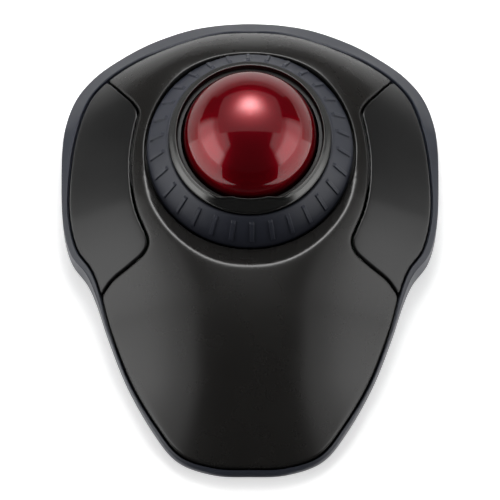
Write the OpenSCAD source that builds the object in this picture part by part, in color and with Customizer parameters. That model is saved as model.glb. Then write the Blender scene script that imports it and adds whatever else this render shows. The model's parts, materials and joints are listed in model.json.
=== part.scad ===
// Trackball mouse with a round scroll ring, two side buttons and two AAA cells.
// Frame: origin at the middle of the footprint on the table, +X to the user's right,
// +Y away from the user, +Z up. The ring, its bezel and the ball cup share a second
// frame that leans a few degrees towards the user.

/* [Ball and ring] */
// Diameter of the trackball
ball_d = 40; // [38:0.5:41]
// Lean of the ring towards the user, in degrees
ring_tilt = 6; // [4:0.5:8]
// Outer radius of the scroll ring
ring_r = 31.15; // [31:0.05:31.3]
// Number of raised ribs around the scroll ring
rib_count = 30; // [24:1:36]

/* [Top shell] */
// Height of the shell's centre line beside the ring
crown_z = 33.5; // [33:0.5:34]
// Thickness of the top cover
cover_wall = 2.2; // [1.8:0.1:2.6]
// Thickness of the two buttons
button_wall = 1.9; // [1.6:0.1:2.2]
// Gap between a button and the cover
button_gap = 0.6; // [0.5:0.05:0.8]

/* [Underside] */
// Height of the rubber feet below the base plate
foot_h = 0.8; // [0.6:0.1:1]
// Thickness of the base plate
base_t = 2.2; // [2:0.1:2.4]

/* [Batteries] */
// Diameter of one cell
cell_d = 10.5; // [10:0.1:10.5]
// Length of one cell without its pip
cell_l = 43.5; // [43:0.1:43.5]

/* [Hidden] */
$fn = 96;

ball_r = ball_d / 2;
ring_y = 19.2;                 // ring centre, towards the far end
ring_z = 28.95;                // height of the ring's outer edge plane at its centre
ball_s = 9.1;                  // ball centre above that plane, along the leaning axis
open_r = ring_r + 0.75;        // opening in the cover around the scroll ring
base_z = foot_h;               // underside of the base plate
floor_z = foot_h + base_t;     // upper face of the base plate
frame_inset = 3.6;             // side frame's inner wall, in from the outline
rim_gap = 0.7;                 // dark gap between the side frame and the cover
button_stations = [15, 47];    // stretch of the outline that a right button lies along

// Right half of the outline, from the far end to the near end.
outline_half = [[0, 76], [16, 74.4], [29.7, 69.6], [40.5, 63.3], [49.4, 55.9], [55.2, 46.8],
    [57.8, 33], [58, 18], [57.2, 4], [54.6, -6.4], [49.6, -13.8], [46.5, -21],
    [42.8, -32.5], [36.9, -47.8], [29, -62.4], [21.6, -71.7], [11, -75.8], [0, -76.4]];

// Inner edge of the right button, from the far corner to the near corner.
button_edge = [[46.5, 53.8], [40, 42.4], [36.3, 36.9], [34.3, 32.4], [35.2, 27.6],
    [36.4, 18.5], [36.1, 8.4], [34.6, 0.4], [32.3, -5.6], [30.9, -9.4], [32, -12.3],
    [36.8, -14.9], [42.4, -17.8], [48, -24.5]];

// Places that repeat on the left and right: x is for the right-hand one.
pin_at = [43.5, 43.5, 8.8];   // middle of a button's hinge pin
switch_at = [44.4, 6];         // plunger of a main switch
far_screw = [30, 48];
near_screw = [18, -55];
cup_screw_r = 34.5;
cup_screw_angles = [60, 120, 240, 300];
far_foot = [33, 56];
near_foot = [12, -66.4];
control_y = -55.5;             // switch and button on the underside
cell_y = [-22, -33.5];         // axes of the front cell and of the rear cell
cell_z = 8.1;
tray_half = [24.95, 11.8];     // half the clear size of the battery bay
bay_y = (cell_y[0] + cell_y[1]) / 2;

/* Curves */
function catmull(a, b, c, d, t) = 0.5 * (2 * b + (c - a) * t
    + (2 * a - 5 * b + 4 * c - d) * t * t + (3 * b - 3 * c + d - a) * t * t * t);

function closed_curve(p, n) = let(m = len(p)) [for (i = [0:m - 1], k = [0:n - 1])
    catmull(p[(i + m - 1) % m], p[i], p[(i + 1) % m], p[(i + 2) % m], k / n)];

function open_curve(p, n) = let(m = len(p)) concat([for (i = [0:m - 2], k = [0:n - 1])
    catmull(p[max(i - 1, 0)], p[i], p[i + 1], p[min(i + 2, m - 1)], k / n)], [p[m - 1]]);

function unit(v) = v / norm(v);

// Moves each point of an open line to the left of its direction by d.
function shifted(p, d) = [for (i = [0:len(p) - 1])
    let(t = unit(p[min(i + 1, len(p) - 1)] - p[max(i - 1, 0)])) p[i] + d * [-t[1], t[0]]];

function ease(t) = let(u = min(max(t, 0), 1)) u * u * (3 - 2 * u);

half_n = len(outline_half);
outline = closed_curve(concat(outline_half,
    [for (i = [half_n - 2:-1:1]) [-outline_half[i][0], outline_half[i][1]]]), 3);
station_n = len(outline);

// Unit vector pointing inwards at station i.
function inward(i) = let(t = unit(outline[(i + 1) % station_n]
    - outline[(i + station_n - 1) % station_n])) [t[1], -t[0]];

function inset(i, d) = outline[i] + d * inward(i);

// Width of the visible rim: wide at the far end, narrow at the near end.
function rim_w(y) = 1.2 + 0.5 * ease((-45 - y) / 30) + 1.3 * ease((y + 36) / 34)
    + 5.9 * ease((y - 6) / 64);

function edge(i) = inset(i, rim_w(outline[i][1]));

/* Top surface */
// Height of the shell on its centre line.
function crown(y) = y < 20 ? crown_z - 27.5 * pow((20 - y) / 95, 2.15)
    : crown_z - 25.6 * pow((y - 20) / 50, 4.8);

// How far the shell has dropped at x: flat in the middle, then a straight slope to each
// side. The bend is tight on the palm rest, wide beside the ring and soft at the far end.
function side_drop(x, y) = let(t = ease((y + 30) / 35), a = 20 + 10 * t,
    p = 3 + 2 * t - 2 * ease((y - 45) / 22),
    slope = 0.74 + 0.11 * t - 0.2 * ease((-48 - y) / 24),
    u = abs(x) / (1 - pow(max(y - 19, 0) / 67, 2.9)))
    slope * (pow(pow(u, p) + pow(a, p), 1 / p) - a);

function palm(x, y) = crown(y) - side_drop(x, y);

// Sloping wall that rises away from the ring and meets the palm in a soft crest.
crater_slope = 31.5;
crest_blend = 1.2;
function crater(x, y) = ring_z + (y - ring_y) * tan(ring_tilt)
    + (norm([x, (y - ring_y) / cos(ring_tilt)]) - open_r) * tan(crater_slope);

function top_z(x, y) = let(p = palm(x, y), q = crater(x, y),
    h = min(max(0.5 + 0.5 * (q - p) / crest_blend, 0), 1))
    q * (1 - h) + p * h - crest_blend * h * (1 - h);

// Point of the opening that faces station i.
function mouth(i) = let(v = edge(i) - [0, ring_y], a = atan2(v[1], v[0]))
    [open_r * cos(a), ring_y + open_r * sin(a) * cos(ring_tilt)];

rings = 12;                    // steps from the opening to the edge
function skin_at(i, j) = let(v = pow(j / rings, 1.4)) mouth(i) * (1 - v) + edge(i) * v;

// Solid below the top surface, thick millimetres deep, over stations first to last.
module skin(thick, lower = 0, first = 0, last = station_n) {
    whole = last - first >= station_n;
    cols = whole ? station_n : last - first + 1;
    rows = rings + 1;
    upper_pts = [for (i = [0:cols - 1], j = [0:rings])
        let(k = (first + i) % station_n, p = skin_at(k, j))
        [p[0], p[1], top_z(p[0], p[1]) - lower - (j == rings ? 0.5 : 0)]];
    lower_pts = [for (p = upper_pts) [p[0], p[1] + thick * tan(ring_tilt) * 0.4, p[2] - thick]];
    n = len(upper_pts);
    steps = whole ? cols - 1 : cols - 2;
    function at(i, j) = (i % cols) * rows + j;
    faces = concat(
        [for (i = [0:steps], j = [0:rings - 1]) for (f = [
            [at(i, j), at(i, j + 1), at(i + 1, j + 1)],
            [at(i, j), at(i + 1, j + 1), at(i + 1, j)],
            [n + at(i, j), n + at(i + 1, j + 1), n + at(i, j + 1)],
            [n + at(i, j), n + at(i + 1, j), n + at(i + 1, j + 1)]]) f],
        [for (i = [0:steps]) for (f = [
            [at(i, 0), at(i + 1, 0), n + at(i + 1, 0)],
            [at(i, 0), n + at(i + 1, 0), n + at(i, 0)],
            [at(i, rings), n + at(i + 1, rings), at(i + 1, rings)],
            [at(i, rings), n + at(i, rings), n + at(i + 1, rings)]]) f],
        whole ? [] : [for (j = [0:rings - 1]) for (f = [
            [at(0, j), n + at(0, j + 1), at(0, j + 1)],
            [at(0, j), n + at(0, j), n + at(0, j + 1)],
            [at(cols - 1, j), at(cols - 1, j + 1), n + at(cols - 1, j + 1)],
            [at(cols - 1, j), n + at(cols - 1, j + 1), n + at(cols - 1, j)]]) f]);
    polyhedron(concat(upper_pts, lower_pts), faces);
}

module ring_frame() {
    translate([0, ring_y, ring_z]) rotate([ring_tilt, 0, 0]) children();
}

// Copies its children to the left side when side is -1.
module on_side(side) {
    if (side < 0) mirror([1, 0, 0]) children();
    else children();
}

module both_sides() {
    children();
    mirror([1, 0, 0]) children();
}

module box(low, high) {
    translate(low) cube(high - low);
}

/* Housing */
rim_inner = [for (i = [0:station_n - 1]) rim_w(outline[i][1]) - rim_gap];

// Section of the side frame at station i: [distance in from the outline, height].
function rim_section(i) = let(w = rim_inner[i], e = edge(i), z = top_z(e[0], e[1]) - 0.8,
    shelf = min(4.1, z - 2.5), brow_most = 4.9 + 6 * ease((50 - outline[i][1]) / 25),
    brow = max(min(z - 0.92 * max(w - 0.5, 0), brow_most), min(4.4, z - 0.6)))
    [[frame_inset, base_z], [1.3, base_z], [0.3, 1.4], [0, 2.4], [0, min(brow - 1, 3.4)],
     [min(0.12, w / 4), brow - 0.8], [min(0.5, w / 2), brow], [w * 0.9, z - 0.05], [w, z - 0.4],
     [w + 0.15, shelf + 0.2], [2.4, shelf], [frame_inset, shelf - 0.6]];

module side_frame() {
    pts = [for (i = [0:station_n - 1]) for (q = rim_section(i))
        let(p = inset(i, q[0])) [p[0], p[1], q[1]]];
    m = len(rim_section(0));
    function at(i, j) = (i % station_n) * m + j % m;
    color([0.16, 0.17, 0.22]) polyhedron(pts, [for (i = [0:station_n - 1], j = [0:m - 1])
        for (f = [[at(i, j), at(i + 1, j), at(i + 1, j + 1)],
            [at(i, j), at(i + 1, j + 1), at(i, j + 1)]]) f]);
}

module screw_place(p) {
    translate([p[0], p[1], 0]) children();
}

module base_plate() {
    color([0.1, 0.1, 0.11]) difference() {
        union() {
            translate([0, 0, base_z]) linear_extrude(base_t)
                polygon([for (i = [0:station_n - 1]) inset(i, frame_inset + 0.1)]);
            both_sides() {
                for (x = [-4.4, 4.4])
                    box([pin_at[0] + x - 1.2, pin_at[1] - 2, floor_z],
                        [pin_at[0] + x + 1.2, pin_at[1] + 2, pin_at[2] + 1.5]);
                for (y = [-4, 34])
                    translate([25, y, floor_z]) cylinder(r = 2, h = 1.8);
                box([10, control_y - 6, floor_z], [14, control_y - 4.4, 7.8]);
            }
            box([-12, 50, floor_z], [12, 67, 9.4]);
        }
        both_sides() {
            translate(pin_at) rotate([0, 90, 0]) cylinder(r = 1, h = 13, center = true);
            for (p = [far_screw, near_screw]) screw_place(p) {
                cylinder(r = 1.5, h = 10);
                translate([0, 0, base_z - 1]) cylinder(r = 2.9, h = 2.2);
            }
            foot_shape(far_foot, 0.1, base_z - 1, base_z + 0.8);
            foot_shape(near_foot, 0.1, base_z - 1, base_z + 0.8);
        }
        box([-tray_half[0] - 0.9, bay_y - tray_half[1] - 0.7, 0],
            [tray_half[0] + 0.9, bay_y + tray_half[1] + 0.7, 6]);
        box([-10.4, 51.4, 0], [10.4, 65.6, 7.9]);
        box([-12.5, control_y - 2.1, 0], [-3.5, control_y + 2.1, 6]);
        translate([8, control_y, 0]) cylinder(r = 2.8, h = 6);
    }
}

module top_cover() {
    color([0.09, 0.085, 0.08]) difference() {
        union() {
            difference() {
                skin(cover_wall);
                both_sides() button_prism(-button_gap);
            }
            intersection() {
                union() {
                    both_sides() for (p = [far_screw, near_screw])
                        screw_place(p) translate([0, 0, floor_z]) cylinder(r = 3, h = 40);
                    ring_frame() for (a = cup_screw_angles) rotate(a)
                        translate([cup_screw_r, 0, -7.4]) cylinder(r = 2.1, h = 20);
                }
                skin(30, 0.8);
            }
        }
        both_sides() for (p = [far_screw, near_screw])
            screw_place(p) cylinder(r = 1.25, h = floor_z + 7);
        ring_frame() for (a = cup_screw_angles) rotate(a)
            translate([cup_screw_r, 0, -9]) cylinder(r = 0.95, h = 6.5);
    }
}

/* Buttons */
// Prism over the right button's plan; grow is negative to widen it past the gap.
module button_prism(grow) {
    line = shifted(open_curve(button_edge, 3), grow);
    translate([0, 0, -5]) linear_extrude(60) polygon(concat(line, [[75, -24.5], [75, 53.8]]));
}

module button(side) {
    stem_z = 13.3;
    color([0.08, 0.08, 0.085]) on_side(side) difference() {
        intersection() {
            union() {
                skin(button_wall, 0, button_stations[0] - 6, button_stations[1] - 8);
                intersection() {
                    union() {
                        box([pin_at[0] - 2.6, pin_at[1] - 2.2, pin_at[2] - 2.2],
                            [pin_at[0] + 2.6, pin_at[1] + 2.2, 40]);
                        box([switch_at[0] - 1.5, switch_at[1] - 1.5, stem_z],
                            [switch_at[0] + 1.5, switch_at[1] + 1.5, 40]);
                    }
                    skin(24, 0.7, button_stations[0] - 6, button_stations[1] - 8);
                }
            }
            button_prism(0);
        }
        translate(pin_at) rotate([0, 90, 0]) cylinder(r = 1.06, h = 7, center = true);
    }
}

module left_button() {
    button(-1);
}

module right_button() {
    button(1);
}

module hinge_pin(side) {
    color([0.75, 0.75, 0.77]) on_side(side) translate(pin_at) rotate([0, 90, 0])
        cylinder(r = 1, h = 11.2, center = true);
}

module left_hinge_pin() {
    hinge_pin(-1);
}

module right_hinge_pin() {
    hinge_pin(1);
}

// Height of the main board's upper face.
board_z = 6.4;

module switch_body(side) {
    color([0.12, 0.12, 0.13]) on_side(side) difference() {
        box([switch_at[0] - 2.9, switch_at[1] - 4.4, board_z],
            [switch_at[0] + 2.9, switch_at[1] + 8.4, board_z + 6.2]);
        box([switch_at[0] - 0.9, switch_at[1] - 1.6, board_z + 2],
            [switch_at[0] + 0.9, switch_at[1] + 1.6, board_z + 8]);
    }
}

module left_switch_body() {
    switch_body(-1);
}

module right_switch_body() {
    switch_body(1);
}

module plunger(side) {
    color([0.8, 0.15, 0.12]) on_side(side)
        box([switch_at[0] - 0.7, switch_at[1] - 1.4, board_z + 3.4],
            [switch_at[0] + 0.7, switch_at[1] + 1.4, 13.2]);
}

module left_plunger() {
    plunger(-1);
}

module right_plunger() {
    plunger(1);
}

/* Ball, cup and scroll ring, in the leaning frame */
module turned(section) {
    ring_frame() rotate_extrude() polygon(section);
}

module trackball() {
    color([0.55, 0.02, 0.04]) ring_frame() translate([0, 0, ball_s]) sphere(r = ball_r, $fn = 128);
}

module bezel_ring() {
    color([0.3, 0.3, 0.33]) turned([[22.8, 6.4], [23.6, 6.4], [23.75, 7.2], [23.75, 8.9],
        [23.65, 9.6], [23.5, 10.5], [22.9, 11.9], [22.55, 12.6], [22.25, 12.85], [22, 12.8],
        [21.85, 12.5], [21.6, 10.7], [22.8, 10.7]]);
}

cup_r = ball_r + 0.7;          // inner radius of the cup
cup_out = ball_r + 2.7;        // outer radius, the scroll ring's bearing
hole_r = 6.2;                  // hole under the ball for the sensor

module ball_cup() {
    start = asin(hole_r / cup_r);
    end_out = asin(hole_r / cup_out);
    inner = [for (a = [start:(90 - start) / 14:90.01])
        [cup_r * sin(a), ball_s - cup_r * cos(a)]];
    outer = [for (a = [56:-(56 - end_out) / 8:end_out - 0.01])
        [cup_out * sin(a), ball_s - cup_out * cos(a)]];
    color([0.13, 0.13, 0.14]) difference() {
        turned(concat(inner, [[cup_r, 10.6], [cup_out, 10.6], [cup_out, -2.5], [25, -2.5],
            [25, -7.5], [37, -7.5], [37, -9.3], [22, -9.3]], outer));
        ring_frame() {
            for (a = cup_screw_angles) rotate(a)
                translate([cup_screw_r, 0, -10]) cylinder(r = 1.2, h = 4);
        }
        for (a = support_angles) support_place(a) sphere(r = 1.3, $fn = 48);
    }
}

support_angles = [90, 210, 330];
module support_place(a) {
    ring_frame() translate([0, 0, ball_s]) rotate(a) rotate([0, 132, 0])
        translate([0, 0, ball_r + 1.4]) children();
}

module support_ball(a) {
    color([0.9, 0.9, 0.88]) support_place(a) sphere(r = 1.2, $fn = 48);
}

module support_ball_far() {
    support_ball(support_angles[0]);
}

module support_ball_left() {
    support_ball(support_angles[1]);
}

module support_ball_right() {
    support_ball(support_angles[2]);
}

cone_top = [24.6, 8.35];       // inner edge of the scroll ring's cone
cone_angle = atan2(8.1, 5.6);

module scroll_ring() {
    rib = [7.4, 1.3, 1.1];
    color([0.17, 0.18, 0.23]) union() {
        turned([[30.1, -1.9], [ring_r, -1.9], [ring_r, -0.8], [30.9, -0.2], [25.3, 7.9],
            [24.95, 8.25], cone_top, [24.25, 8.25], [24.1, 7.9], [24.1, 6.2], [24.95, 6.2]]);
        ring_frame() for (k = [0:rib_count - 1]) rotate((k + 0.6) * 360 / rib_count)
            translate([28.1, 0, 3.85])
                rotate([0, cone_angle, 0]) translate([-rib[0] / 2, -rib[1] / 2, -0.5]) cube(rib);
    }
}

module ring_carrier() {
    slots = 48;
    color([0.14, 0.14, 0.15]) difference() {
        turned([[cup_out + 0.05, -1.9], [29, -1.9], [29, -6.6], [30, -6.6], [30, -1.95],
            [24.9, 6.1], [24.2, 6.1], [cup_out + 0.05, 3]]);
        ring_frame() for (k = [0:slots - 1]) rotate(k * 360 / slots)
            translate([28, -0.9, -6]) cube([3, 1.8, 3]);
    }
}

module ring_glide() {
    color([0.92, 0.92, 0.9]) turned([[22.75, -2.45], [24.8, -2.45], [24.8, -1.95], [22.75, -1.95]]);
}

module ring_code_sensor() {
    color([0.06, 0.06, 0.07]) ring_frame() difference() {
        box([-3, 26.4, -7.45], [3, 32.4, -4.4]);
        box([-4, 28.3, -6.95], [4, 30.9, -3]);
    }
}

module sensor_lens() {
    color([0.85, 0.88, 0.9]) ring_frame() {
        translate([0, 0, -13.8]) cylinder(r = 4, h = 2);
        translate([0, 0, -16.3]) cylinder(r = 5.2, h = 2.5);
    }
}

module sensor_chip() {
    color([0.07, 0.07, 0.08]) ring_frame() box([-5, -6, -18.6], [5, 6, -16.3]);
}

module sensor_board() {
    color([0.1, 0.3, 0.16]) ring_frame() difference() {
        union() {
            box([-14, -9, -19.8], [14, 9, -18.6]);
            for (x = [-11.5, 11.5]) translate([x, 0, -18.6]) cylinder(r = 1.8, h = 6.6);
        }
        turned_cup_clearance();
    }
}

// Space that the cup's outside takes, so that the board's posts end on it.
module turned_cup_clearance() {
    translate([0, 0, ball_s]) sphere(r = cup_out + 0.02);
}

/* Boards */
module main_board() {
    color([0.1, 0.3, 0.16]) difference() {
        box([-48, -8, board_z - 1.6], [48, 38, board_z]);
        both_sides() {
            for (y = [-4, 34]) translate([25, y, 0]) cylinder(r = 1.1, h = 10);
            box([49 - 6, -9, 0], [60, -2, 10]);
        }
    }
}

module controller_chip() {
    color([0.05, 0.05, 0.06]) box([-24, 2, board_z], [-17, 9, board_z + 1]);
}

module board_capacitor() {
    color([0.35, 0.35, 0.4]) translate([27, 14, board_z]) cylinder(r = 2.5, h = 5.4);
}

module board_crystal() {
    color([0.75, 0.75, 0.77]) box([-24, 14, board_z], [-19, 17.2, board_z + 0.9]);
}

module control_board() {
    color([0.1, 0.3, 0.16]) box([-14, control_y - 6, 7.8], [14, control_y + 4, 9]);
}

/* Batteries */
module battery_tray() {
    wall = 1.2;
    color([0.12, 0.12, 0.13]) difference() {
        box([-tray_half[0] - wall, bay_y - tray_half[1] - wall, floor_z],
            [tray_half[0] + wall, bay_y + tray_half[1] + wall, 10]);
        box([-tray_half[0], bay_y - tray_half[1], 0], [tray_half[0], bay_y + tray_half[1], 20]);
    }
}

module cell(y, side) {
    color([0.72, 0.62, 0.3]) translate([0, y, cell_z]) rotate([0, 90 * side, 0]) {
        translate([0, 0, -cell_l / 2]) cylinder(d = cell_d, h = cell_l);
        cylinder(r = 1.9, h = cell_l / 2 + 1);
    }
}

module battery_cell_rear() {
    cell(cell_y[1], -1);
}

module battery_cell_front() {
    cell(cell_y[0], 1);
}

// Raised button that a cell's pip touches.
module contact_bump(y, side) {
    x = cell_l / 2 + 1.1;
    on_side(side) translate([x, y, cell_z]) rotate([0, 90, 0])
        cylinder(r = 2.4, h = tray_half[0] - 0.3 - x);
}

module contact_plate(y) {
    x = tray_half[0];
    color([0.8, 0.8, 0.8]) box([x - 0.5, y - 4.5, 4], [x, y + 4.5, 9.8]);
}

module contact_plate_front() {
    contact_plate(cell_y[0]);
    color([0.8, 0.8, 0.8]) contact_bump(cell_y[0], 1);
}

module contact_plate_rear() {
    contact_plate(cell_y[1]);
}

module contact_spring(y, side) {
    x = cell_l / 2;
    color([0.8, 0.8, 0.8]) on_side(side) translate([x + 0.1, y, cell_z]) rotate([0, 90, 0])
        difference() {
            cylinder(r1 = 2.2, r2 = 3.8, h = tray_half[0] - x - 0.7);
            translate([0, 0, -1]) cylinder(r = 1.4, h = 10);
        }
}

module contact_spring_front() {
    contact_spring(cell_y[0], -1);
}

module contact_spring_rear() {
    contact_spring(cell_y[1], 1);
}

module battery_link() {
    x = tray_half[0];
    color([0.8, 0.8, 0.8]) {
        box([-x, cell_y[1] - 4.5, 4], [-x + 0.5, cell_y[0] + 4.5, 9.8]);
        contact_bump(cell_y[1], -1);
    }
}

module battery_door() {
    color([0.1, 0.1, 0.11]) difference() {
        box([-tray_half[0] - 0.5, bay_y - tray_half[1] - 0.3, base_z],
            [tray_half[0] + 0.5, bay_y + tray_half[1] + 0.3, base_z + 1.7]);
        for (k = [-2:2]) box([-9, bay_y - 8 + k * 1.4, 0], [9, bay_y - 7.4 + k * 1.4, base_z + 0.5]);
    }
}

/* Underside controls */
module power_switch_body() {
    color([0.7, 0.7, 0.72]) difference() {
        box([-12.6, control_y - 2.2, 4.5], [-3.4, control_y + 2.2, 7.8]);
        box([-11.2, control_y - 0.9, 4], [-4.8, control_y + 0.9, 6.4]);
    }
}

module power_slider() {
    color([0.8, 0.8, 0.8]) {
        box([-12.1, control_y - 1.8, 1.1], [-7, control_y + 1.8, 3.3]);
        box([-13.6, control_y - 2.6, 3.1], [-5.5, control_y + 2.6, 4]);
        box([-10.4, control_y - 0.6, 3.8], [-8.9, control_y + 0.6, 6]);
    }
}

module pair_switch_body() {
    color([0.2, 0.2, 0.22]) translate([8, control_y, 5.3]) {
        cylinder(r = 1.4, h = 1);
        translate([-3, -3, 0.6]) cube([6, 6, 1.9]);
    }
}

module pair_button() {
    color([0.2, 0.2, 0.22]) translate([8, control_y, 0]) {
        translate([0, 0, 1.2]) cylinder(r = 2.5, h = 2.4);
        translate([0, 0, 3.1]) cylinder(r = 3.4, h = 0.7);
        translate([0, 0, 3.7]) cylinder(r = 1.4, h = 1);
    }
}

/* Receiver, lying in its own pocket */
module receiver_cap() {
    color([0.1, 0.1, 0.11]) difference() {
        box([-10, 51.8, 1], [-1, 65.2, 7.3]);
        box([-4, 52.6, 1.8], [0, 64.4, 6.5]);
    }
}

module receiver_plug() {
    color([0.75, 0.75, 0.77]) difference() {
        box([-3.9, 52.7, 1.9], [9.6, 64.3, 6.4]);
        box([-2, 53.1, 2.3], [10, 63.9, 6]);
        for (y = [55.6, 61.4]) box([5, y - 1.1, 5], [7.4, y + 1.1, 8]);
    }
}

/* Feet and screws */
module foot_shape(p, grow, low, high) {
    r = 3.4 + grow;
    for (x = [-4, 4]) translate([p[0] + x, p[1], low]) cylinder(r = r, h = high - low);
    box([p[0] - 4, p[1] - r, low], [p[0] + 4, p[1] + r, high]);
}

module foot(p, side) {
    color([0.2, 0.2, 0.2]) on_side(side) foot_shape(p, 0, 0, base_z + 0.8);
}

module foot_far_left() {
    foot(far_foot, -1);
}

module foot_far_right() {
    foot(far_foot, 1);
}

module foot_near_left() {
    foot(near_foot, -1);
}

module foot_near_right() {
    foot(near_foot, 1);
}

module housing_screw(p, side) {
    color([0.6, 0.6, 0.62]) on_side(side) screw_place(p) difference() {
        union() {
            translate([0, 0, base_z + 0.1]) cylinder(r = 2.6, h = 1.1);
            translate([0, 0, base_z + 0.5]) cylinder(r = 1.2, h = 7);
        }
        for (a = [0, 90]) rotate(a) box([-1.3, -0.3, 0], [1.3, 0.3, base_z + 0.7]);
    }
}

module housing_screw_far_left() {
    housing_screw(far_screw, -1);
}

module housing_screw_far_right() {
    housing_screw(far_screw, 1);
}

module housing_screw_near_left() {
    housing_screw(near_screw, -1);
}

module housing_screw_near_right() {
    housing_screw(near_screw, 1);
}

module cup_screw(a) {
    color([0.6, 0.6, 0.62]) ring_frame() rotate(a) translate([cup_screw_r, 0, 0]) {
        translate([0, 0, -10.4]) cylinder(r = 1.9, h = 1.1);
        translate([0, 0, -9.6]) cylinder(r = 0.9, h = 6.5);
    }
}

module cup_screw_far_right() {
    cup_screw(cup_screw_angles[0]);
}

module cup_screw_far_left() {
    cup_screw(cup_screw_angles[1]);
}

module cup_screw_near_left() {
    cup_screw(cup_screw_angles[2]);
}

module cup_screw_near_right() {
    cup_screw(cup_screw_angles[3]);
}

side_frame();
base_plate();
top_cover();
bezel_ring();
ball_cup();
scroll_ring();
ring_carrier();
ring_glide();
ring_code_sensor();
trackball();
support_ball_left();
support_ball_right();
support_ball_far();
sensor_board();
sensor_chip();
sensor_lens();
left_button();
right_button();
left_hinge_pin();
right_hinge_pin();
left_switch_body();
right_switch_body();
left_plunger();
right_plunger();
main_board();
controller_chip();
board_capacitor();
board_crystal();
battery_tray();
battery_cell_front();
battery_cell_rear();
contact_plate_front();
contact_plate_rear();
contact_spring_front();
contact_spring_rear();
battery_link();
battery_door();
control_board();
power_switch_body();
power_slider();
pair_switch_body();
pair_button();
receiver_cap();
receiver_plug();
foot_far_left();
foot_far_right();
foot_near_left();
foot_near_right();
housing_screw_far_left();
housing_screw_far_right();
housing_screw_near_left();
housing_screw_near_right();
cup_screw_far_left();
cup_screw_far_right();
cup_screw_near_left();
cup_screw_near_right();
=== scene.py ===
"""Looks of a trackball mouse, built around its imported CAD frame.

The shells that the eye sees first (top cover, buttons, side frame, scroll ring and bezel) are
meshes computed here from the same curves as the CAD model, with rounded edges and fine spacing.
Everything else is the CAD model's own mesh with a better material. Lengths are millimetres
until mesh_object() turns them into metres.
"""

import json
import math

import bpy
import numpy as np
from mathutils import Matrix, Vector, geometry, kdtree


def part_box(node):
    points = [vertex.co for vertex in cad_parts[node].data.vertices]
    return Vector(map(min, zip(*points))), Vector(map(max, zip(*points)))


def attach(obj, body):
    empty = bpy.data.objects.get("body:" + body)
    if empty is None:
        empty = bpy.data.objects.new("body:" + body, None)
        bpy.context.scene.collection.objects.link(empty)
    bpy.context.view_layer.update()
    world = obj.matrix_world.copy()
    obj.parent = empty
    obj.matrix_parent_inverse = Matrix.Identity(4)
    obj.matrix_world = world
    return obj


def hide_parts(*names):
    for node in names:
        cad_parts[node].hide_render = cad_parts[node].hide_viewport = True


MM = 0.001
FULL_TURN = 2 * math.pi
TINY = 1e-12             # smaller counts as nothing

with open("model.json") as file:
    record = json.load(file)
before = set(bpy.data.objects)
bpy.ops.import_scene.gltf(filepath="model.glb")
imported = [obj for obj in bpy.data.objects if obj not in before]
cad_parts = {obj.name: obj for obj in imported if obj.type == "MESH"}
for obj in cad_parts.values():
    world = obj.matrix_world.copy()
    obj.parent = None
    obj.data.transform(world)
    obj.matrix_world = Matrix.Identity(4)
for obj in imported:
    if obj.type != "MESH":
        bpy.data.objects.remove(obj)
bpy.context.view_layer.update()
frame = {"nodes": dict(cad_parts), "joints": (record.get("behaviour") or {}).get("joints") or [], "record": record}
nodes = frame["nodes"]

# ---------------------------------------------------------------- places taken from the frame

joints = {joint["name"]: joint for joint in frame["joints"]}
ring_spin = joints["scroll_ring_spin"]
RING_Y, RING_Z = (value / MM for value in ring_spin["pos_m"][1:])
TILT = math.atan2(-ring_spin["axis"][1], ring_spin["axis"][2])


def size_of(node):
    """A node's lowest and highest corner in millimetres."""
    low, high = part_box(node)
    return np.array(low) / MM, np.array(high) / MM


ring_low, ring_high = size_of("scroll_ring")
RING_R = (ring_high[0] - ring_low[0]) / 2
RING_GAP = 0.75          # dark seam between the scroll ring and the cover
OPEN_R = RING_R + RING_GAP
BASE_Z = size_of("base_plate")[0][2]

# ---------------------------------------------------------------- curves and the top surface

OUTLINE_HALF = [
    (0, 76), (16, 74.4), (29.7, 69.6), (40.5, 63.3), (49.4, 55.9), (55.2, 46.8),
    (57.8, 33), (58, 18), (57.2, 4), (54.6, -6.4), (49.6, -13.8), (46.5, -21),
    (42.8, -32.5), (36.9, -47.8), (29, -62.4), (21.6, -71.7), (11, -75.8), (0, -76.4),
]
BUTTON_EDGE = [
    (46.5, 53.8), (40, 42.4), (36.3, 36.9), (34.3, 32.4), (35.2, 27.6),
    (36.4, 18.5), (36.1, 8.4), (34.6, 0.4), (32.3, -5.6), (30.9, -9.4), (32, -12.3),
    (36.8, -14.9), (42.4, -17.8), (48, -24.5),
]
FINE = 12                # curve steps between two outline points
CLOSE_BY = 8             # steps of two lines that start farther apart can't cross
BUTTON_GAP = 0.75        # dark seam between a button and the cover
RIM_GAP = 0.7            # dark seam between the side frame and the cover
RIM_DROP = 0.8           # how far the side frame lies below the cover's edge
CROWN_Y = 20             # where the centre line is highest
CROWN_Z = 33.5           # its height there
NEAR_FALL = (27.5, 95, 2.15)     # fall towards the user: drop, its distance, power
FAR_FALL = (25.6, 50, 4.8)       # the same towards the far end
CRATER_SLOPE = math.radians(31.5)
CREST_BLEND = 0.35       # roundness of the bright crest line around the ring


def catmull(points, steps, closed):
    """Catmull-Rom curve through the points."""
    p = np.array(points, float)
    if closed:
        a, b, c, d = np.roll(p, 1, 0), p, np.roll(p, -1, 0), np.roll(p, -2, 0)
    else:
        padded = np.vstack([p[:1], p, p[-1:]])
        a, b, c, d = padded[:-3], padded[1:-2], padded[2:-1], padded[3:]
    t = (np.arange(steps) / steps)[None, :, None]
    a, b, c, d = (q[:, None, :] for q in (a, b, c, d))
    curve = 0.5 * (2 * b + (c - a) * t + (2 * a - 5 * b + 4 * c - d) * t**2
                   + (3 * b - 3 * c + d - a) * t**3)
    curve = curve.reshape(-1, p.shape[1])
    return curve if closed else np.vstack([curve, p[-1:]])


def ease(t):
    """Smooth step from 0 to 1 as t passes from 0 to 1."""
    t = np.clip(t, 0, 1)
    return t * t * (3 - 2 * t)


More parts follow.
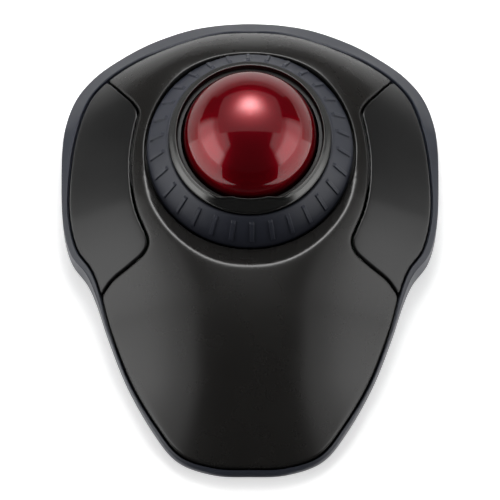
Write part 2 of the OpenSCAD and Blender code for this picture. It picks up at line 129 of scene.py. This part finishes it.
def unit_rows(v):
    """Each row shortened or stretched to length 1."""
    return v / np.linalg.norm(v, axis=1, keepdims=True)


def fall(distance, drop, reach, power):
    """How far a curve has fallen: nothing before the start, drop at the reach."""
    return drop * (np.clip(distance, 0, None) / reach) ** power


def crown(y):
    """Height of the centre line."""
    near = CROWN_Z - fall(CROWN_Y - y, *NEAR_FALL)
    far = CROWN_Z - fall(y - CROWN_Y, *FAR_FALL)
    return np.where(y < CROWN_Y, near, far)


def side_drop(x, y):
    """Drop away from the centre line: flat in the middle, then a straight slope.

    The bend is tight on the palm rest, wide beside the ring and soft at the far end.
    """
    beside_ring = ease((y + 30) / 35)
    far_end = ease((y - 45) / 22)
    near_end = ease((-48 - y) / 24)
    power = 3 + 2 * beside_ring - 2 * far_end
    bend = 20 + 10 * beside_ring
    slope = 0.74 + 0.11 * beside_ring - 0.2 * near_end
    narrowing = 1 - (np.clip(y - 19, 0, None) / 67) ** 2.9
    across = np.abs(x) / narrowing
    return slope * ((across**power + bend**power) ** (1 / power) - bend)


def palm(x, y):
    """Height of the shell without the crater around the ring."""
    return crown(y) - side_drop(x, y)


def crater(x, y):
    """Height of the slope that falls from the crest line to the ring's opening."""
    out = np.hypot(x, (y - RING_Y) / math.cos(TILT)) - OPEN_R
    return RING_Z + (y - RING_Y) * math.tan(TILT) + out * math.tan(CRATER_SLOPE)


def top_z(x, y):
    """Height of the cover and the buttons at a place in the plan."""
    p, q = palm(x, y), crater(x, y)
    h = np.clip(0.5 + 0.5 * (q - p) / CREST_BLEND, 0, 1)
    return q * (1 - h) + p * h - CREST_BLEND * h * (1 - h)


OUTLINE = catmull(OUTLINE_HALF + [(-x, y) for x, y in OUTLINE_HALF[-2:0:-1]], FINE, True)
TANGENT = unit_rows(np.roll(OUTLINE, -1, 0) - np.roll(OUTLINE, 1, 0))
INWARD = np.stack([TANGENT[:, 1], -TANGENT[:, 0]], 1)


def rim_width(y):
    """Width of the side frame in the plan: narrow beside the palm, wide at the far end."""
    return (1.2 + 0.5 * ease((-45 - y) / 30) + 1.3 * ease((y + 36) / 34)
            + 5.9 * ease((y - 6) / 64))


COVER_EDGE = OUTLINE + INWARD * rim_width(OUTLINE[:, 1])[:, None]


def shifted(line, distance):
    """Moves an open line to the left of its direction."""
    ahead = np.vstack([line[1:], line[-1:]])
    behind = np.vstack([line[:1], line[:-1]])
    t = unit_rows(ahead - behind)
    return line + distance * np.stack([-t[:, 1], t[:, 0]], 1)


def cross2(a, b):
    """How far b turns to the left of a."""
    return a[0] * b[1] - a[1] * b[0]


def meetings(first, second):
    """Where two open lines cross: (step of the first, step of the second, point).

    Steps that start more than a few millimetres apart are passed over, to save time.
    """
    found = []
    for i in range(len(first) - 1):
        p, r = first[i], first[i + 1] - first[i]
        for j in range(len(second) - 1):
            q, s = second[j], second[j + 1] - second[j]
            turn = cross2(r, s)
            if np.abs(q - p).max() > CLOSE_BY or abs(turn) < TINY:
                continue
            t, u = cross2(q - p, s) / turn, cross2(q - p, r) / turn
            if 0 <= t < 1 and 0 <= u < 1:
                found.append((i, j, p + t * r))
    return found


def mirrored(line):
    return line * np.array([-1, 1])


def even_loop(loop, spacing, softness):
    """Resamples a closed loop evenly and rounds its corners by averaging neighbours."""
    closed = np.vstack([loop, loop[:1]])
    run = np.concatenate([[0], np.cumsum(np.linalg.norm(np.diff(closed, axis=0), axis=1))])
    count = int(run[-1] / spacing)
    at = np.linspace(0, run[-1], count, endpoint=False)
    even = np.stack([np.interp(at, run, closed[:, k]) for k in (0, 1)], 1)
    for _ in range(softness):
        even = (np.roll(even, 1, 0) + 2 * even + np.roll(even, -1, 0)) / 4
    return even


# ---------------------------------------------------------------- mesh helpers

def mesh_object(name, vertices, faces, sharp_angle):
    """A mesh object from millimetre vertices, smooth except at sharp edges."""
    mesh = bpy.data.meshes.new(name)
    mesh.from_pydata([tuple(v) for v in np.asarray(vertices) * MM], [], faces)
    mesh.validate()
    mesh.shade_smooth()
    mesh.set_sharp_from_angle(angle=math.radians(sharp_angle))
    obj = bpy.data.objects.new(name, mesh)
    bpy.context.scene.collection.objects.link(obj)
    return obj


def inside(points, loop):
    """Which points lie inside a closed loop."""
    x, y = points[:, 0][:, None], points[:, 1][:, None]
    a, b = loop, np.roll(loop, -1, 0)
    spans = (a[:, 1] > y) != (b[:, 1] > y)
    rise = b[:, 1] - a[:, 1]
    rise = np.where(np.abs(rise) < TINY, TINY, rise)
    hits = spans & (x < (b[:, 0] - a[:, 0]) * (y - a[:, 1]) / rise + a[:, 0])
    return hits.sum(1) % 2 == 1


def inset_loop(loop, distance):
    """Moves a counter-clockwise loop inwards; a clockwise one outwards."""
    t = unit_rows(np.roll(loop, -1, 0) - np.roll(loop, 1, 0))
    return loop + distance * np.stack([-t[:, 1], t[:, 0]], 1)


def signed_area(loop):
    x, y = loop[:, 0], loop[:, 1]
    return 0.5 * np.sum(x * np.roll(y, -1) - y * np.roll(x, -1))


GRID = 1.1                               # spacing of a shell's inner vertices
EXTRA_WALL = 0.2                         # added to a shell's wall, below the rolled edge
EDGE_ROWS = (0.06, 0.2, 0.42, 0.7, 1.0)  # rows along a rolled edge, in edge radii


def skin(name, outer, hole=None, *, wall, edge_r):
    """A closed shell over a plan region, following top_z, with rolled edges.

    outer and hole are loops in the plan. The edge falls away on a quarter circle of radius
    edge_r, and rows of vertices close to the edge carry that curve.
    """
    loops = [outer if signed_area(outer) > 0 else outer[::-1]]
    if hole is not None:
        loops.append(hole[::-1] if signed_area(hole) > 0 else hole)
    rows = edge_r * np.array(EDGE_ROWS)
    tree_points = np.vstack([even_loop(loop, 0.12, 0) for loop in loops])
    tree = kdtree.KDTree(len(tree_points))
    for i, (x, y) in enumerate(tree_points):
        tree.insert((x, y, 0), i)
    tree.balance()

    def to_edge(points):
        """Distance in the plan from each point to the nearest edge."""
        return np.array([tree.find((x, y, 0))[2] for x, y in points])

    def in_region(points):
        found = inside(points, outer)
        return found if hole is None else found & ~inside(points, hole)

    low, high = outer.min(0), outer.max(0)
    xs = np.arange(low[0], high[0], GRID)
    ys = np.arange(low[1], high[1], GRID * math.sqrt(3) / 2)
    lattice = np.array([(x + (k % 2) * GRID / 2, y) for k, y in enumerate(ys) for x in xs])
    lattice = lattice[in_region(lattice)]
    lattice = lattice[to_edge(lattice) > edge_r + 0.5 * GRID]
    row_points = np.vstack([inset_loop(loop, d) for loop in loops for d in rows])
    row_points = row_points[in_region(row_points)]
    row_points = row_points[to_edge(row_points) > 0.03 * edge_r]
    rims = np.vstack(loops)
    points = np.vstack([rims, row_points, lattice])
    edges, start = [], 0
    for loop in loops:
        n = len(loop)
        edges += [(start + i, start + (i + 1) % n) for i in range(n)]
        start += n
    flat, _, tris, *_ = geometry.delaunay_2d_cdt(
        [Vector(p) for p in points], edges, [], 0, 1e-6)
    flat = np.array([tuple(p) for p in flat])
    tris = np.array([t for t in tris if len(t) == 3])
    tris = tris[in_region(flat[tris].mean(1))]
    a, b, c = (flat[tris[:, k]] for k in range(3))
    turn = cross2((b - a).T, (c - a).T)
    tris[turn < 0] = tris[turn < 0][:, ::-1]
    used = np.unique(tris)
    remap = -np.ones(len(flat), int)
    remap[used] = np.arange(len(used))
    flat, tris = flat[used], remap[tris]
    surface = top_z(flat[:, 0], flat[:, 1])
    short = np.clip(edge_r - to_edge(flat), 0, edge_r)
    upper = surface - (edge_r - np.sqrt(np.clip(edge_r**2 - short**2, 0, None)))
    lower = surface - wall - EXTRA_WALL
    n = len(flat)
    vertices = np.vstack([np.column_stack([flat, upper]), np.column_stack([flat, lower])])
    faces = [tuple(int(v) for v in t) for t in tris]
    faces += [tuple(int(v) + n for v in t[::-1]) for t in tris]
    sides = dict.fromkeys((int(t[i]), int(t[(i + 1) % 3])) for t in tris for i in range(3))
    faces += [(j, i, i + n, j + n) for i, j in sides if (j, i) not in sides]
    return mesh_object(name, vertices, faces, 55)


def loft(name, sections, sharp_angle):
    """A closed tube of closed sections: an array of stations by section points by xyz."""
    count, m, _ = sections.shape
    faces = []
    for i in range(count):
        k = (i + 1) % count
        for j in range(m):
            q = (j + 1) % m
            faces.append((i * m + j, k * m + j, k * m + q, i * m + q))
    return mesh_object(name, sections.reshape(-1, 3), faces, sharp_angle)


def ring_space(radius, height, angle):
    """Points of the leaning ring frame in the shared frame, in millimetres."""
    x = radius * np.cos(angle)
    across = radius * np.sin(angle)
    y = RING_Y + across * math.cos(TILT) - height * math.sin(TILT)
    z = RING_Z + across * math.sin(TILT) + height * math.cos(TILT)
    return np.stack([x, y, z], -1)


def turned(name, section, steps, shape, sharp_angle):
    """A turned piece in the ring frame. shape(angle, section) bends the section."""
    sections = []
    for angle in np.arange(steps) / steps * FULL_TURN:
        s = shape(angle, section)
        sections.append(ring_space(s[:, 0], s[:, 1], angle))
    return loft(name, np.array(sections)[::-1], sharp_angle)


def add_piece(obj, body, slot, replaced):
    """Gives a mesh its finish and body, and lets it stand in for a CAD node."""
    obj.data.materials.append(FINISHES[slot])
    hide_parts(replaced)
    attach(obj, body)


# ---------------------------------------------------------------- materials

def new_material(name):
    material = bpy.data.materials.new(name)
    material.use_nodes = True
    tree = material.node_tree
    return material, tree, tree.nodes["Principled BSDF"]


def noise(tree, scale, detail, roughness=0.5):
    """Noise over object space, scale in features per metre."""
    place = tree.nodes.new("ShaderNodeTexCoord")
    node = tree.nodes.new("ShaderNodeTexNoise")
    node.inputs["Scale"].default_value = scale
    node.inputs["Detail"].default_value = detail
    node.inputs["Roughness"].default_value = roughness
    tree.links.new(place.outputs["Object"], node.inputs["Vector"])
    return node


def spread(tree, source, low, high):
    """Maps a noise output to the range low..high."""
    node = tree.nodes.new("ShaderNodeMapRange")
    node.inputs["From Min"].default_value = 0.3
    node.inputs["From Max"].default_value = 0.7
    node.inputs["To Min"].default_value = low
    node.inputs["To Max"].default_value = high
    tree.links.new(source, node.inputs["Value"])
    return node.outputs["Result"]


def tint(tree, source, dark, light):
    """Colour that runs from dark to light with a noise output."""
    ramp = tree.nodes.new("ShaderNodeValToRGB")
    ramp.color_ramp.elements[0].position = 0.35
    ramp.color_ramp.elements[1].position = 0.65
    ramp.color_ramp.elements[0].color = (*dark, 1)
    ramp.color_ramp.elements[1].color = (*light, 1)
    tree.links.new(source, ramp.inputs["Fac"])
    return ramp.outputs["Color"]


def bump(tree, shader, source, strength, distance):
    """Surface relief from a noise output, distance in metres."""
    node = tree.nodes.new("ShaderNodeBump")
    node.inputs["Strength"].default_value = strength
    node.inputs["Distance"].default_value = distance
    tree.links.new(source, node.inputs["Height"])
    tree.links.new(node.outputs["Normal"], shader.inputs["Normal"])


BLOTCHES = 60            # features per metre of the uneven colour and gloss
GLOSS_CHANGE = 0.07      # how far the roughness runs either way
GRAIN_DEPTH = 0.00003    # metres


def finish_of(name, color, rough, vary, grain, relief, metallic=0.0, coat=0.0):
    """Moulded, rubber or metal finish with grain, uneven colour and uneven gloss."""
    material, tree, shader = new_material(name)
    fine, broad = noise(tree, grain, 4), noise(tree, BLOTCHES, 5, 0.6)
    dark = [c * (1 - vary) for c in color]
    light = [min(c * (1 + vary), 1) for c in color]
    tree.links.new(tint(tree, broad.outputs["Fac"], dark, light), shader.inputs["Base Color"])
    gloss = spread(tree, broad.outputs["Fac"], rough * (1 - GLOSS_CHANGE),
                   rough * (1 + GLOSS_CHANGE))
    tree.links.new(gloss, shader.inputs["Roughness"])
    bump(tree, shader, fine.outputs["Fac"], relief, GRAIN_DEPTH)
    shader.inputs["Metallic"].default_value = metallic
    shader.inputs["Coat Weight"].default_value = coat
    shader.inputs["Coat Roughness"].default_value = 0.05
    return material


def ball_finish():
    """Deep red resin: fine metallic flakes low in the colour under a clear polished coat."""
    material, tree, shader = new_material("ball_red")
    flakes = noise(tree, 9000, 2)
    color = tint(tree, flakes.outputs["Fac"], (0.17, 0.0012, 0.006), (0.26, 0.002, 0.009))
    tree.links.new(color, shader.inputs["Base Color"])
    tree.links.new(spread(tree, flakes.outputs["Fac"], 0.30, 0.36), shader.inputs["Roughness"])
    shader.inputs["Metallic"].default_value = 0.7
    shader.inputs["Specular IOR Level"].default_value = 0.0
    shader.inputs["Specular Tint"].default_value = (0.5, 0.0, 0.02, 1)
    shader.inputs["Coat Weight"].default_value = 1.0
    shader.inputs["Coat Roughness"].default_value = 0.02
    shader.inputs["Coat IOR"].default_value = 1.55
    return material


def clear_finish():
    """Clear moulded plastic for the sensor's lens."""
    material, tree, shader = new_material("lens_clear")
    haze = noise(tree, 800, 3)
    tree.links.new(spread(tree, haze.outputs["Fac"], 0.03, 0.08), shader.inputs["Roughness"])
    shader.inputs["Base Color"].default_value = (0.9, 0.93, 0.95, 1)
    shader.inputs["Transmission Weight"].default_value = 0.9
    shader.inputs["IOR"].default_value = 1.5
    return material


# name: colour, roughness, change of colour, grain per metre, relief, then metal and coat
FINISHES = {
    "shell_black": finish_of("shell_black", (0.0135, 0.0127, 0.0118), 0.27, 0.06, 3200, 0.10),
    "button_black": finish_of("button_black", (0.0125, 0.0125, 0.0125), 0.30, 0.06, 3200, 0.10),
    "rim_slate": finish_of("rim_slate", (0.026, 0.030, 0.043), 0.40, 0.08, 2600, 0.12),
    "scroll_rubber": finish_of("scroll_rubber", (0.026, 0.029, 0.042), 0.46, 0.10, 2200, 0.2),
    "bezel_gunmetal": finish_of("bezel_gunmetal", (0.09, 0.09, 0.088), 0.16, 0.06, 4000, 0.04,
                                metallic=0.9, coat=0.1),
    "base_black": finish_of("base_black", (0.016, 0.016, 0.017), 0.5, 0.15, 1500, 0.35),
    "inner_plastic": finish_of("inner_plastic", (0.012, 0.012, 0.012), 0.5, 0.15, 1500, 0.25),
    "receiver_black": finish_of("receiver_black", (0.014, 0.014, 0.015), 0.4, 0.1, 2200, 0.2),
    "chip_black": finish_of("chip_black", (0.015, 0.015, 0.016), 0.55, 0.2, 3000, 0.3),
    "control_grey": finish_of("control_grey", (0.3, 0.3, 0.31), 0.42, 0.08, 2200, 0.2),
    "foot_rubber": finish_of("foot_rubber", (0.035, 0.035, 0.036), 0.7, 0.15, 1800, 0.4),
    "glide_white": finish_of("glide_white", (0.75, 0.75, 0.72), 0.35, 0.04, 1500, 0.1),
    "ceramic_white": finish_of("ceramic_white", (0.8, 0.8, 0.77), 0.12, 0.03, 2000, 0.03,
                               coat=0.5),
    "circuit_green": finish_of("circuit_green", (0.012, 0.09, 0.03), 0.3, 0.25, 1200, 0.2,
                               coat=0.3),
    "plunger_red": finish_of("plunger_red", (0.5, 0.03, 0.02), 0.25, 0.08, 2500, 0.1),
    "cell_wrap": finish_of("cell_wrap", (0.45, 0.3, 0.07), 0.25, 0.08, 700, 0.08, coat=0.4),
    "can_metal": finish_of("can_metal", (0.6, 0.6, 0.62), 0.3, 0.06, 1800, 0.15, metallic=1),
    "pin_steel": finish_of("pin_steel", (0.58, 0.58, 0.6), 0.25, 0.05, 3000, 0.1, metallic=1),
    "spring_nickel": finish_of("spring_nickel", (0.62, 0.6, 0.56), 0.28, 0.08, 2500, 0.12,
                               metallic=1),
    "screw_steel": finish_of("screw_steel", (0.4, 0.4, 0.42), 0.32, 0.1, 2600, 0.2, metallic=1),
    "ball_red": ball_finish(),
    "lens_clear": clear_finish(),
}

# Without this the metal turns nearly white where it is seen at a low angle.
gunmetal = FINISHES["bezel_gunmetal"].node_tree.nodes["Principled BSDF"]
gunmetal.inputs["Specular Tint"].default_value = (0.3, 0.3, 0.3, 1)

slot_of = {part["node"]: part["material_slot"] for part in frame["record"]["subparts"]}
for node_name, node in nodes.items():
    node.data.materials.clear()
    node.data.materials.append(FINISHES[slot_of[node_name]])
    node.data.shade_smooth()
    node.data.set_sharp_from_angle(angle=math.radians(30))

# ---------------------------------------------------------------- cover and buttons

CORNERS = 4              # rounds of averaging that soften a loop's corners
MOUTH_POINTS = 400       # points around the ring's opening
right_edge = COVER_EDGE[:(len(OUTLINE_HALF) - 1) * FINE + 1]
button_line = catmull(BUTTON_EDGE, FINE, False)
cover_line = shifted(button_line, -BUTTON_GAP)


def cut_by(line):
    """The right half of the cover's edge and a line across it, cut where they meet."""
    hits = meetings(right_edge, line)
    (i0, j0, p0), (i1, j1, p1) = hits[0], hits[-1]
    across = np.vstack([[p0], line[j0 + 1:j1 + 1], [p1]])
    return i0, i1, across


i0, i1, across = cut_by(cover_line)
right_side = np.vstack([right_edge[:i0 + 1], across, right_edge[i1 + 1:]])
cover_loop = even_loop(np.vstack([right_side, mirrored(right_side)[-2:0:-1]]), 0.55, CORNERS)
i0, i1, across = cut_by(button_line)
button_loop = even_loop(np.vstack([across, right_edge[i1:i0:-1]]), 0.5, CORNERS)
mouth_angle = np.arange(MOUTH_POINTS) / MOUTH_POINTS * FULL_TURN
mouth = np.column_stack([OPEN_R * np.cos(mouth_angle),
                         RING_Y + OPEN_R * np.sin(mouth_angle) * math.cos(TILT)])

add_piece(skin("palm_shell", cover_loop, mouth, wall=2.2, edge_r=0.7),
          "housing", "shell_black", "top_cover")
for button, loop in (("right_button", button_loop),
                     ("left_button", mirrored(button_loop)[::-1])):
    add_piece(skin(button + "_cap", loop, wall=1.9, edge_r=0.6),
              button, "button_black", button)

# ---------------------------------------------------------------- side frame


def rim_section(i):
    """Closed section of the side frame at a station: distance in, height."""
    inner = rim_width(OUTLINE[i, 1]) - RIM_GAP
    z = float(top_z(*COVER_EDGE[i])) - RIM_DROP
    shelf = min(4.1, z - 2.5)           # the ledge inside
    highest = 4.9 + 6 * ease((50 - OUTLINE[i, 1]) / 25)
    lowest = min(4.4, z - 0.6)
    brow = max(min(z - 0.92 * max(inner - 0.5, 0), highest), lowest)   # outer edge of the top
    soft = min(0.5, inner / 2)          # how far that edge is rounded
    points = [
        (3.6, BASE_Z), (1.3, BASE_Z), (0.55, BASE_Z + 0.15), (0.15, 1.6), (0, 2.5),
        (0, min(brow - 1, 3.4)), (soft * 0.12, brow - 0.9), (soft * 0.45, brow - 0.38),
        (soft, brow)]
    points += [(soft + (inner * 0.93 - soft) * t, brow + (z - 0.03 - brow) * t)
               for t in (0.2, 0.4, 0.6, 0.8, 1.0)]
    points += [(inner, z - 0.2), (inner + 0.03, z - 0.6), (inner + 0.1, z - 1.0),
               (inner + 0.5, z - 1.3), (inner + 0.55, shelf + 0.2),
               (2.5, shelf), (3.4, shelf - 0.4), (3.6, 1.8)]
    return catmull(points, 3, True)


sections = []
for i in range(len(OUTLINE)):
    section = rim_section(i)
    plan = OUTLINE[i] + INWARD[i] * section[:, :1]
    sections.append(np.column_stack([plan, section[:, 1]]))
add_piece(loft("side_rim", np.array(sections)[::-1], 50),
          "housing", "rim_slate", "side_frame")

# ---------------------------------------------------------------- scroll ring and bezel

RIBS = 30
RIB_WIDTH = 1.15
RIB_LENGTH = 7.0
RIB_HEIGHT = 0.6
RIB_EDGE = 0.22          # how far a rib's edges are rounded
RIB_START = 0.6          # place of the first rib, in parts of the spacing
RING_FOOT = -0.9         # the ribs stop above this height
CONE_LOW = np.array([30.9, -0.2])
CONE_TOP = np.array([25.3, 7.9])
RING_STEPS = RIBS * 48
BEZEL_STEPS = 480


def ring_section():
    """Section of the scroll ring: a rounded foot, the long cone, a rounded top, the inside."""
    cone = [CONE_LOW + (CONE_TOP - CONE_LOW) * t for t in np.linspace(0.02, 0.98, 34)]
    foot = catmull([(30.1, -1.9), (30.9, -1.9), (RING_R, -1.65), (RING_R, -0.8),
                    tuple(cone[0])], 4, False)[:-1]
    top = catmull([tuple(cone[-1]), (24.95, 8.25), (24.6, 8.35), (24.25, 8.2), (24.1, 7.7),
                   (24.1, 6.2), (24.95, 6.2)], 4, False)[1:]
    return np.vstack([foot, cone, top])


def ribbed(angle, section):
    """Raises the cone where a rib passes."""
    pitch = FULL_TURN / RIBS
    offset = (angle - RIB_START * pitch + pitch / 2) % pitch - pitch / 2
    length = np.linalg.norm(CONE_TOP - CONE_LOW)
    along = (section - CONE_LOW) @ (CONE_TOP - CONE_LOW) / length
    across = np.abs(offset) * section[:, 0]
    side = ease((RIB_WIDTH / 2 + RIB_EDGE / 2 - across) / RIB_EDGE)
    ends = ease((RIB_LENGTH / 2 + RIB_EDGE - np.abs(along - length / 2)) / (2 * RIB_EDGE))
    lift = RIB_HEIGHT * side * ends * (section[:, 1] > RING_FOOT)
    normal = np.array([CONE_LOW[1] - CONE_TOP[1], CONE_TOP[0] - CONE_LOW[0]])
    normal = -normal / np.linalg.norm(normal)
    return section + lift[:, None] * normal


add_piece(turned("ribbed_ring", ring_section(), RING_STEPS, ribbed, 60),
          "scroll", "scroll_rubber", "scroll_ring")

# Section of the bezel, up its outer face, over the crest and down the inner face.
BEZEL = [
    (22.8, 6.4), (23.5, 6.4), (23.7, 6.8), (23.75, 8.7), (23.85, 9.0), (24.2, 9.15),
    (24.35, 9.4), (24.35, 10.0), (24.15, 10.5), (23.5, 11.25), (22.9, 11.95),
    (22.5, 12.6), (22.25, 12.82), (22.05, 12.72), (21.9, 12.3),
    (21.6, 10.7), (22.8, 10.7),
]
LIP_R = 22               # radius at which the lip's length is counted
LIP_HALF_WIDTH = 10.5
LIP_FADE = 5.5           # how far it takes to reach full height from either end
LIP_SHIFT = (-1.3, 0.6)  # inwards, upwards


def lip(angle, section):
    """Lifts the inner crest a little and moves it inwards at the side nearest the user."""
    turn = (angle + 0.75 * FULL_TURN) % FULL_TURN - 0.5 * FULL_TURN
    arc = abs(turn) * LIP_R
    strength = float(ease((LIP_HALF_WIDTH - arc) / LIP_FADE))
    share = ease((section[:, 1] - 10.9) / 1.7)[:, None]
    return section + strength * share * np.array(LIP_SHIFT)


add_piece(turned("bezel_trim", catmull(BEZEL, 5, True), BEZEL_STEPS, lip, 50),
          "housing", "bezel_gunmetal", "bezel_ring")

# ---------------------------------------------------------------- studio

floor_material, _, floor_shader = new_material("studio_floor")
floor_shader.inputs["Base Color"].default_value = (0.9, 0.9, 0.9, 1)
floor_shader.inputs["Roughness"].default_value = 0.9
floor_shader.inputs["Emission Color"].default_value = (1, 1, 1, 1)
floor_shader.inputs["Emission Strength"].default_value = 0.5
bpy.ops.mesh.primitive_plane_add(size=6, location=(0, 0, 0))
floor = bpy.context.object
floor.name = "floor"
floor.data.materials.append(floor_material)


class LightSheet:
    """A glowing material whose strength is worked out from the place on its sheet."""

    def __init__(self, name):
        self.material = bpy.data.materials.new(name)
        self.material.use_nodes = True
        self.tree = self.material.node_tree
        place = self.tree.nodes.new("ShaderNodeTexCoord")
        parts = self.tree.nodes.new("ShaderNodeSeparateXYZ")
        self.tree.links.new(place.outputs["Object"], parts.inputs["Vector"])
        self.place = parts.outputs

    def do(self, operation, *values):
        """One math node. Each value is a number or another node's output."""
        node = self.tree.nodes.new("ShaderNodeMath")
        node.operation = operation
        for socket, value in zip(node.inputs, values):
            if isinstance(value, (int, float)):
                socket.default_value = value
            else:
                self.tree.links.new(value, socket)
        return node.outputs[0]

    def step(self, axis, start, end):
        """Rises smoothly from 0 at start to 1 at end, which may lie below start."""
        node = self.tree.nodes.new("ShaderNodeMapRange")
        node.interpolation_type = "SMOOTHSTEP"
        node.inputs["From Min"].default_value = start
        node.inputs["From Max"].default_value = end
        self.tree.links.new(self.place[axis], node.inputs["Value"])
        return node.outputs["Result"]

    def shine(self, strength):
        """Ends the material: the sheet gives off light of this strength."""
        emission = self.tree.nodes.new("ShaderNodeEmission")
        self.tree.links.new(strength, emission.inputs["Strength"])
        output = self.tree.nodes["Material Output"]
        self.tree.links.new(emission.outputs["Emission"], output.inputs["Surface"])
        return self.material


def unseen_sheet(name, corners, material):
    """A flat sheet for the studio, hidden from the camera."""
    mesh = bpy.data.meshes.new(name)
    mesh.from_pydata(corners, [], [(0, 1, 2, 3)])
    mesh.materials.append(material)
    obj = bpy.data.objects.new(name, mesh)
    obj.visible_camera = False
    bpy.context.scene.collection.objects.link(obj)
    return obj


SCRIM_HEIGHT = 0.28              # metres above the ball
SCRIM_HALF_WIDTH = 1.35          # the next sizes are in scrim heights
SCRIM_NEAR = -0.28
SCRIM_FAR = 1.92
LAMP_AWAY = 0.58
LAMP_NEAR_SIDE = 1.12            # squeezes the glow towards the user
LAMP_FAR_SIDE = 0.68             # stretches it away from the user
SCRIM_DIM = 0.37                 # light of the scrim without its lamp
GLOW_WIDE = (1.1, 0.40)          # strength, radius
GLOW_TIGHT = (9.0, 0.21)
BALL_PLACE = (0, 0.018, 0.038)   # metres


def scrim_material():
    """Large dim overhead scrim that glows around a lamp behind it.

    across and away are places on the scrim, in scrim heights from the point over the ball.
    """
    sheet = LightSheet("scrim")
    do = sheet.do
    across = do("ABSOLUTE", do("DIVIDE", sheet.place["X"], SCRIM_HEIGHT))
    away = do("DIVIDE", sheet.place["Y"], SCRIM_HEIGHT)
    off = do("SUBTRACT", away, LAMP_AWAY)
    off = do("ADD", do("MULTIPLY", do("MAXIMUM", off, 0), LAMP_FAR_SIDE),
             do("MULTIPLY", do("MINIMUM", off, 0), LAMP_NEAR_SIDE))
    distance2 = do("ADD", do("MULTIPLY", across, across), do("MULTIPLY", off, off))

    def glow(strength, radius):
        return do("MULTIPLY", strength,
                  do("EXPONENT", do("DIVIDE", distance2, -2 * radius * radius)))

    return sheet.shine(do("ADD", SCRIM_DIM, do("ADD", glow(*GLOW_WIDE), glow(*GLOW_TIGHT))))


half_width, near, far = (SCRIM_HEIGHT * n for n in (SCRIM_HALF_WIDTH, SCRIM_NEAR, SCRIM_FAR))
scrim = unseen_sheet("scrim", [(-half_width, far, 0), (half_width, far, 0),
                               (half_width, near, 0), (-half_width, near, 0)],
                     scrim_material())
scrim.location = (*BALL_PLACE[:2], BALL_PLACE[2] + SCRIM_HEIGHT)


def floor_shade(name, grey, inner_edge, outer_edge):
    """A sheet over the floor that only reflections see, so that they find a darker floor.

    The inner edge lies by the object. Each edge is half its length, its place along Y and
    its height, in metres.
    """
    material, _, shader = new_material(name)
    shader.inputs["Base Color"].default_value = (grey, grey, grey, 1)
    shader.inputs["Roughness"].default_value = 1.0
    shader.inputs["Specular IOR Level"].default_value = 0.0
    corners = [(side * half_length, y, z) for side, (half_length, y, z) in
               ((-1, inner_edge), (1, inner_edge), (1, outer_edge), (-1, outer_edge))]
    shade = unseen_sheet(name, corners, material)
    shade.visible_diffuse = False
    shade.visible_shadow = False


floor_shade("near_shade", 0.01, (0.07, -0.077, 0.0004), (0.4, -0.42, 0.06))
floor_shade("far_shade", 0.6, (0.3, 0.03, 0.0012), (0.45, 0.45, 0.02))

WALL_X = 0.6                     # metres from the middle to either wall
WALL_Y = (-0.7, 0.3)             # its two ends
WALL_Z = (0.01, 0.84)            # its foot and its top
LOW_LIGHT = (1.5, 0.42, 0.28)    # strength, height where it starts, height where it is full
HIGH_LIGHT = (0.95, 0.82, 0.66)
NEAR_END = (-0.68, -0.48)        # where the light starts and is full
FAR_END = (0.28, 0.14)
DIM_ALONG = (-0.10, 0.06)        # the wall dims between these places along Y
DIM_SHARE = 0.4


def wall_material(name, strength):
    """Light wall: bright low down, dimmer higher up and away from the user, soft at its edges."""
    sheet = LightSheet(name)
    do, step = sheet.do, sheet.step
    low = do("MULTIPLY", step("Z", *LOW_LIGHT[1:]), LOW_LIGHT[0])
    high = do("MULTIPLY", step("Z", *HIGH_LIGHT[1:]), HIGH_LIGHT[0])
    along = do("MULTIPLY", step("Y", *NEAR_END), step("Y", *FAR_END))
    dimmer = do("SUBTRACT", 1, do("MULTIPLY", step("Y", *DIM_ALONG), DIM_SHARE))
    light = do("MULTIPLY", do("ADD", low, high), do("MULTIPLY", along, dimmer))
    return sheet.shine(do("MULTIPLY", light, strength))


for name, x, strength in (("left_wall", -WALL_X, 1.0), ("right_wall", WALL_X, 0.88)):
    corners = [(0, WALL_Y[0], WALL_Z[0]), (0, WALL_Y[1], WALL_Z[0]),
               (0, WALL_Y[1], WALL_Z[1]), (0, WALL_Y[0], WALL_Z[1])]
    unseen_sheet(name, corners, wall_material(name, strength)).location = (x, 0, 0)

world = bpy.data.worlds.new("studio")
world.use_nodes = True
background = world.node_tree.nodes["Background"]
background.inputs["Color"].default_value = (1, 1, 1, 1)
background.inputs["Strength"].default_value = 0.025
bpy.context.scene.world = world

BACK_SIZE = (1.7, 0.27)          # metres
BACK_PLACE = Vector((0, 1.1, 0.14))
BACK_AIM = Vector((0, 0, 0.03))
BACK_RADIANCE = 0.25
back_light = bpy.data.lights.new("back", "AREA")
back_light.shape = "RECTANGLE"
back_light.size, back_light.size_y = BACK_SIZE
back_light.energy = BACK_RADIANCE * math.pi * BACK_SIZE[0] * BACK_SIZE[1]
back = bpy.data.objects.new("back", back_light)
back.location = BACK_PLACE
back.rotation_euler = (BACK_PLACE - BACK_AIM).to_track_quat("Z", "Y").to_euler()
back.visible_camera = False
bpy.context.scene.collection.objects.link(back)

# ---------------------------------------------------------------- camera

VIEW_TILT = math.radians(25.13)  # from straight down, towards the user
VIEW_DISTANCE = 1.0              # metres
VIEW_CENTRE = Vector((0, -0.00794, 0.015))
LENS = 238.3                     # millimetres
camera_data = bpy.data.cameras.new("camera")
camera_data.lens = LENS
camera_data.sensor_width = 36
camera_data.clip_start = 0.05
camera = bpy.data.objects.new("camera", camera_data)
camera.location = VIEW_CENTRE + VIEW_DISTANCE * Vector(
    (0, -math.sin(VIEW_TILT), math.cos(VIEW_TILT)))
camera.rotation_euler = (VIEW_TILT, 0, 0)
bpy.context.scene.collection.objects.link(camera)
bpy.context.scene.camera = camera
bpy.context.scene.view_settings.view_transform = "Standard"
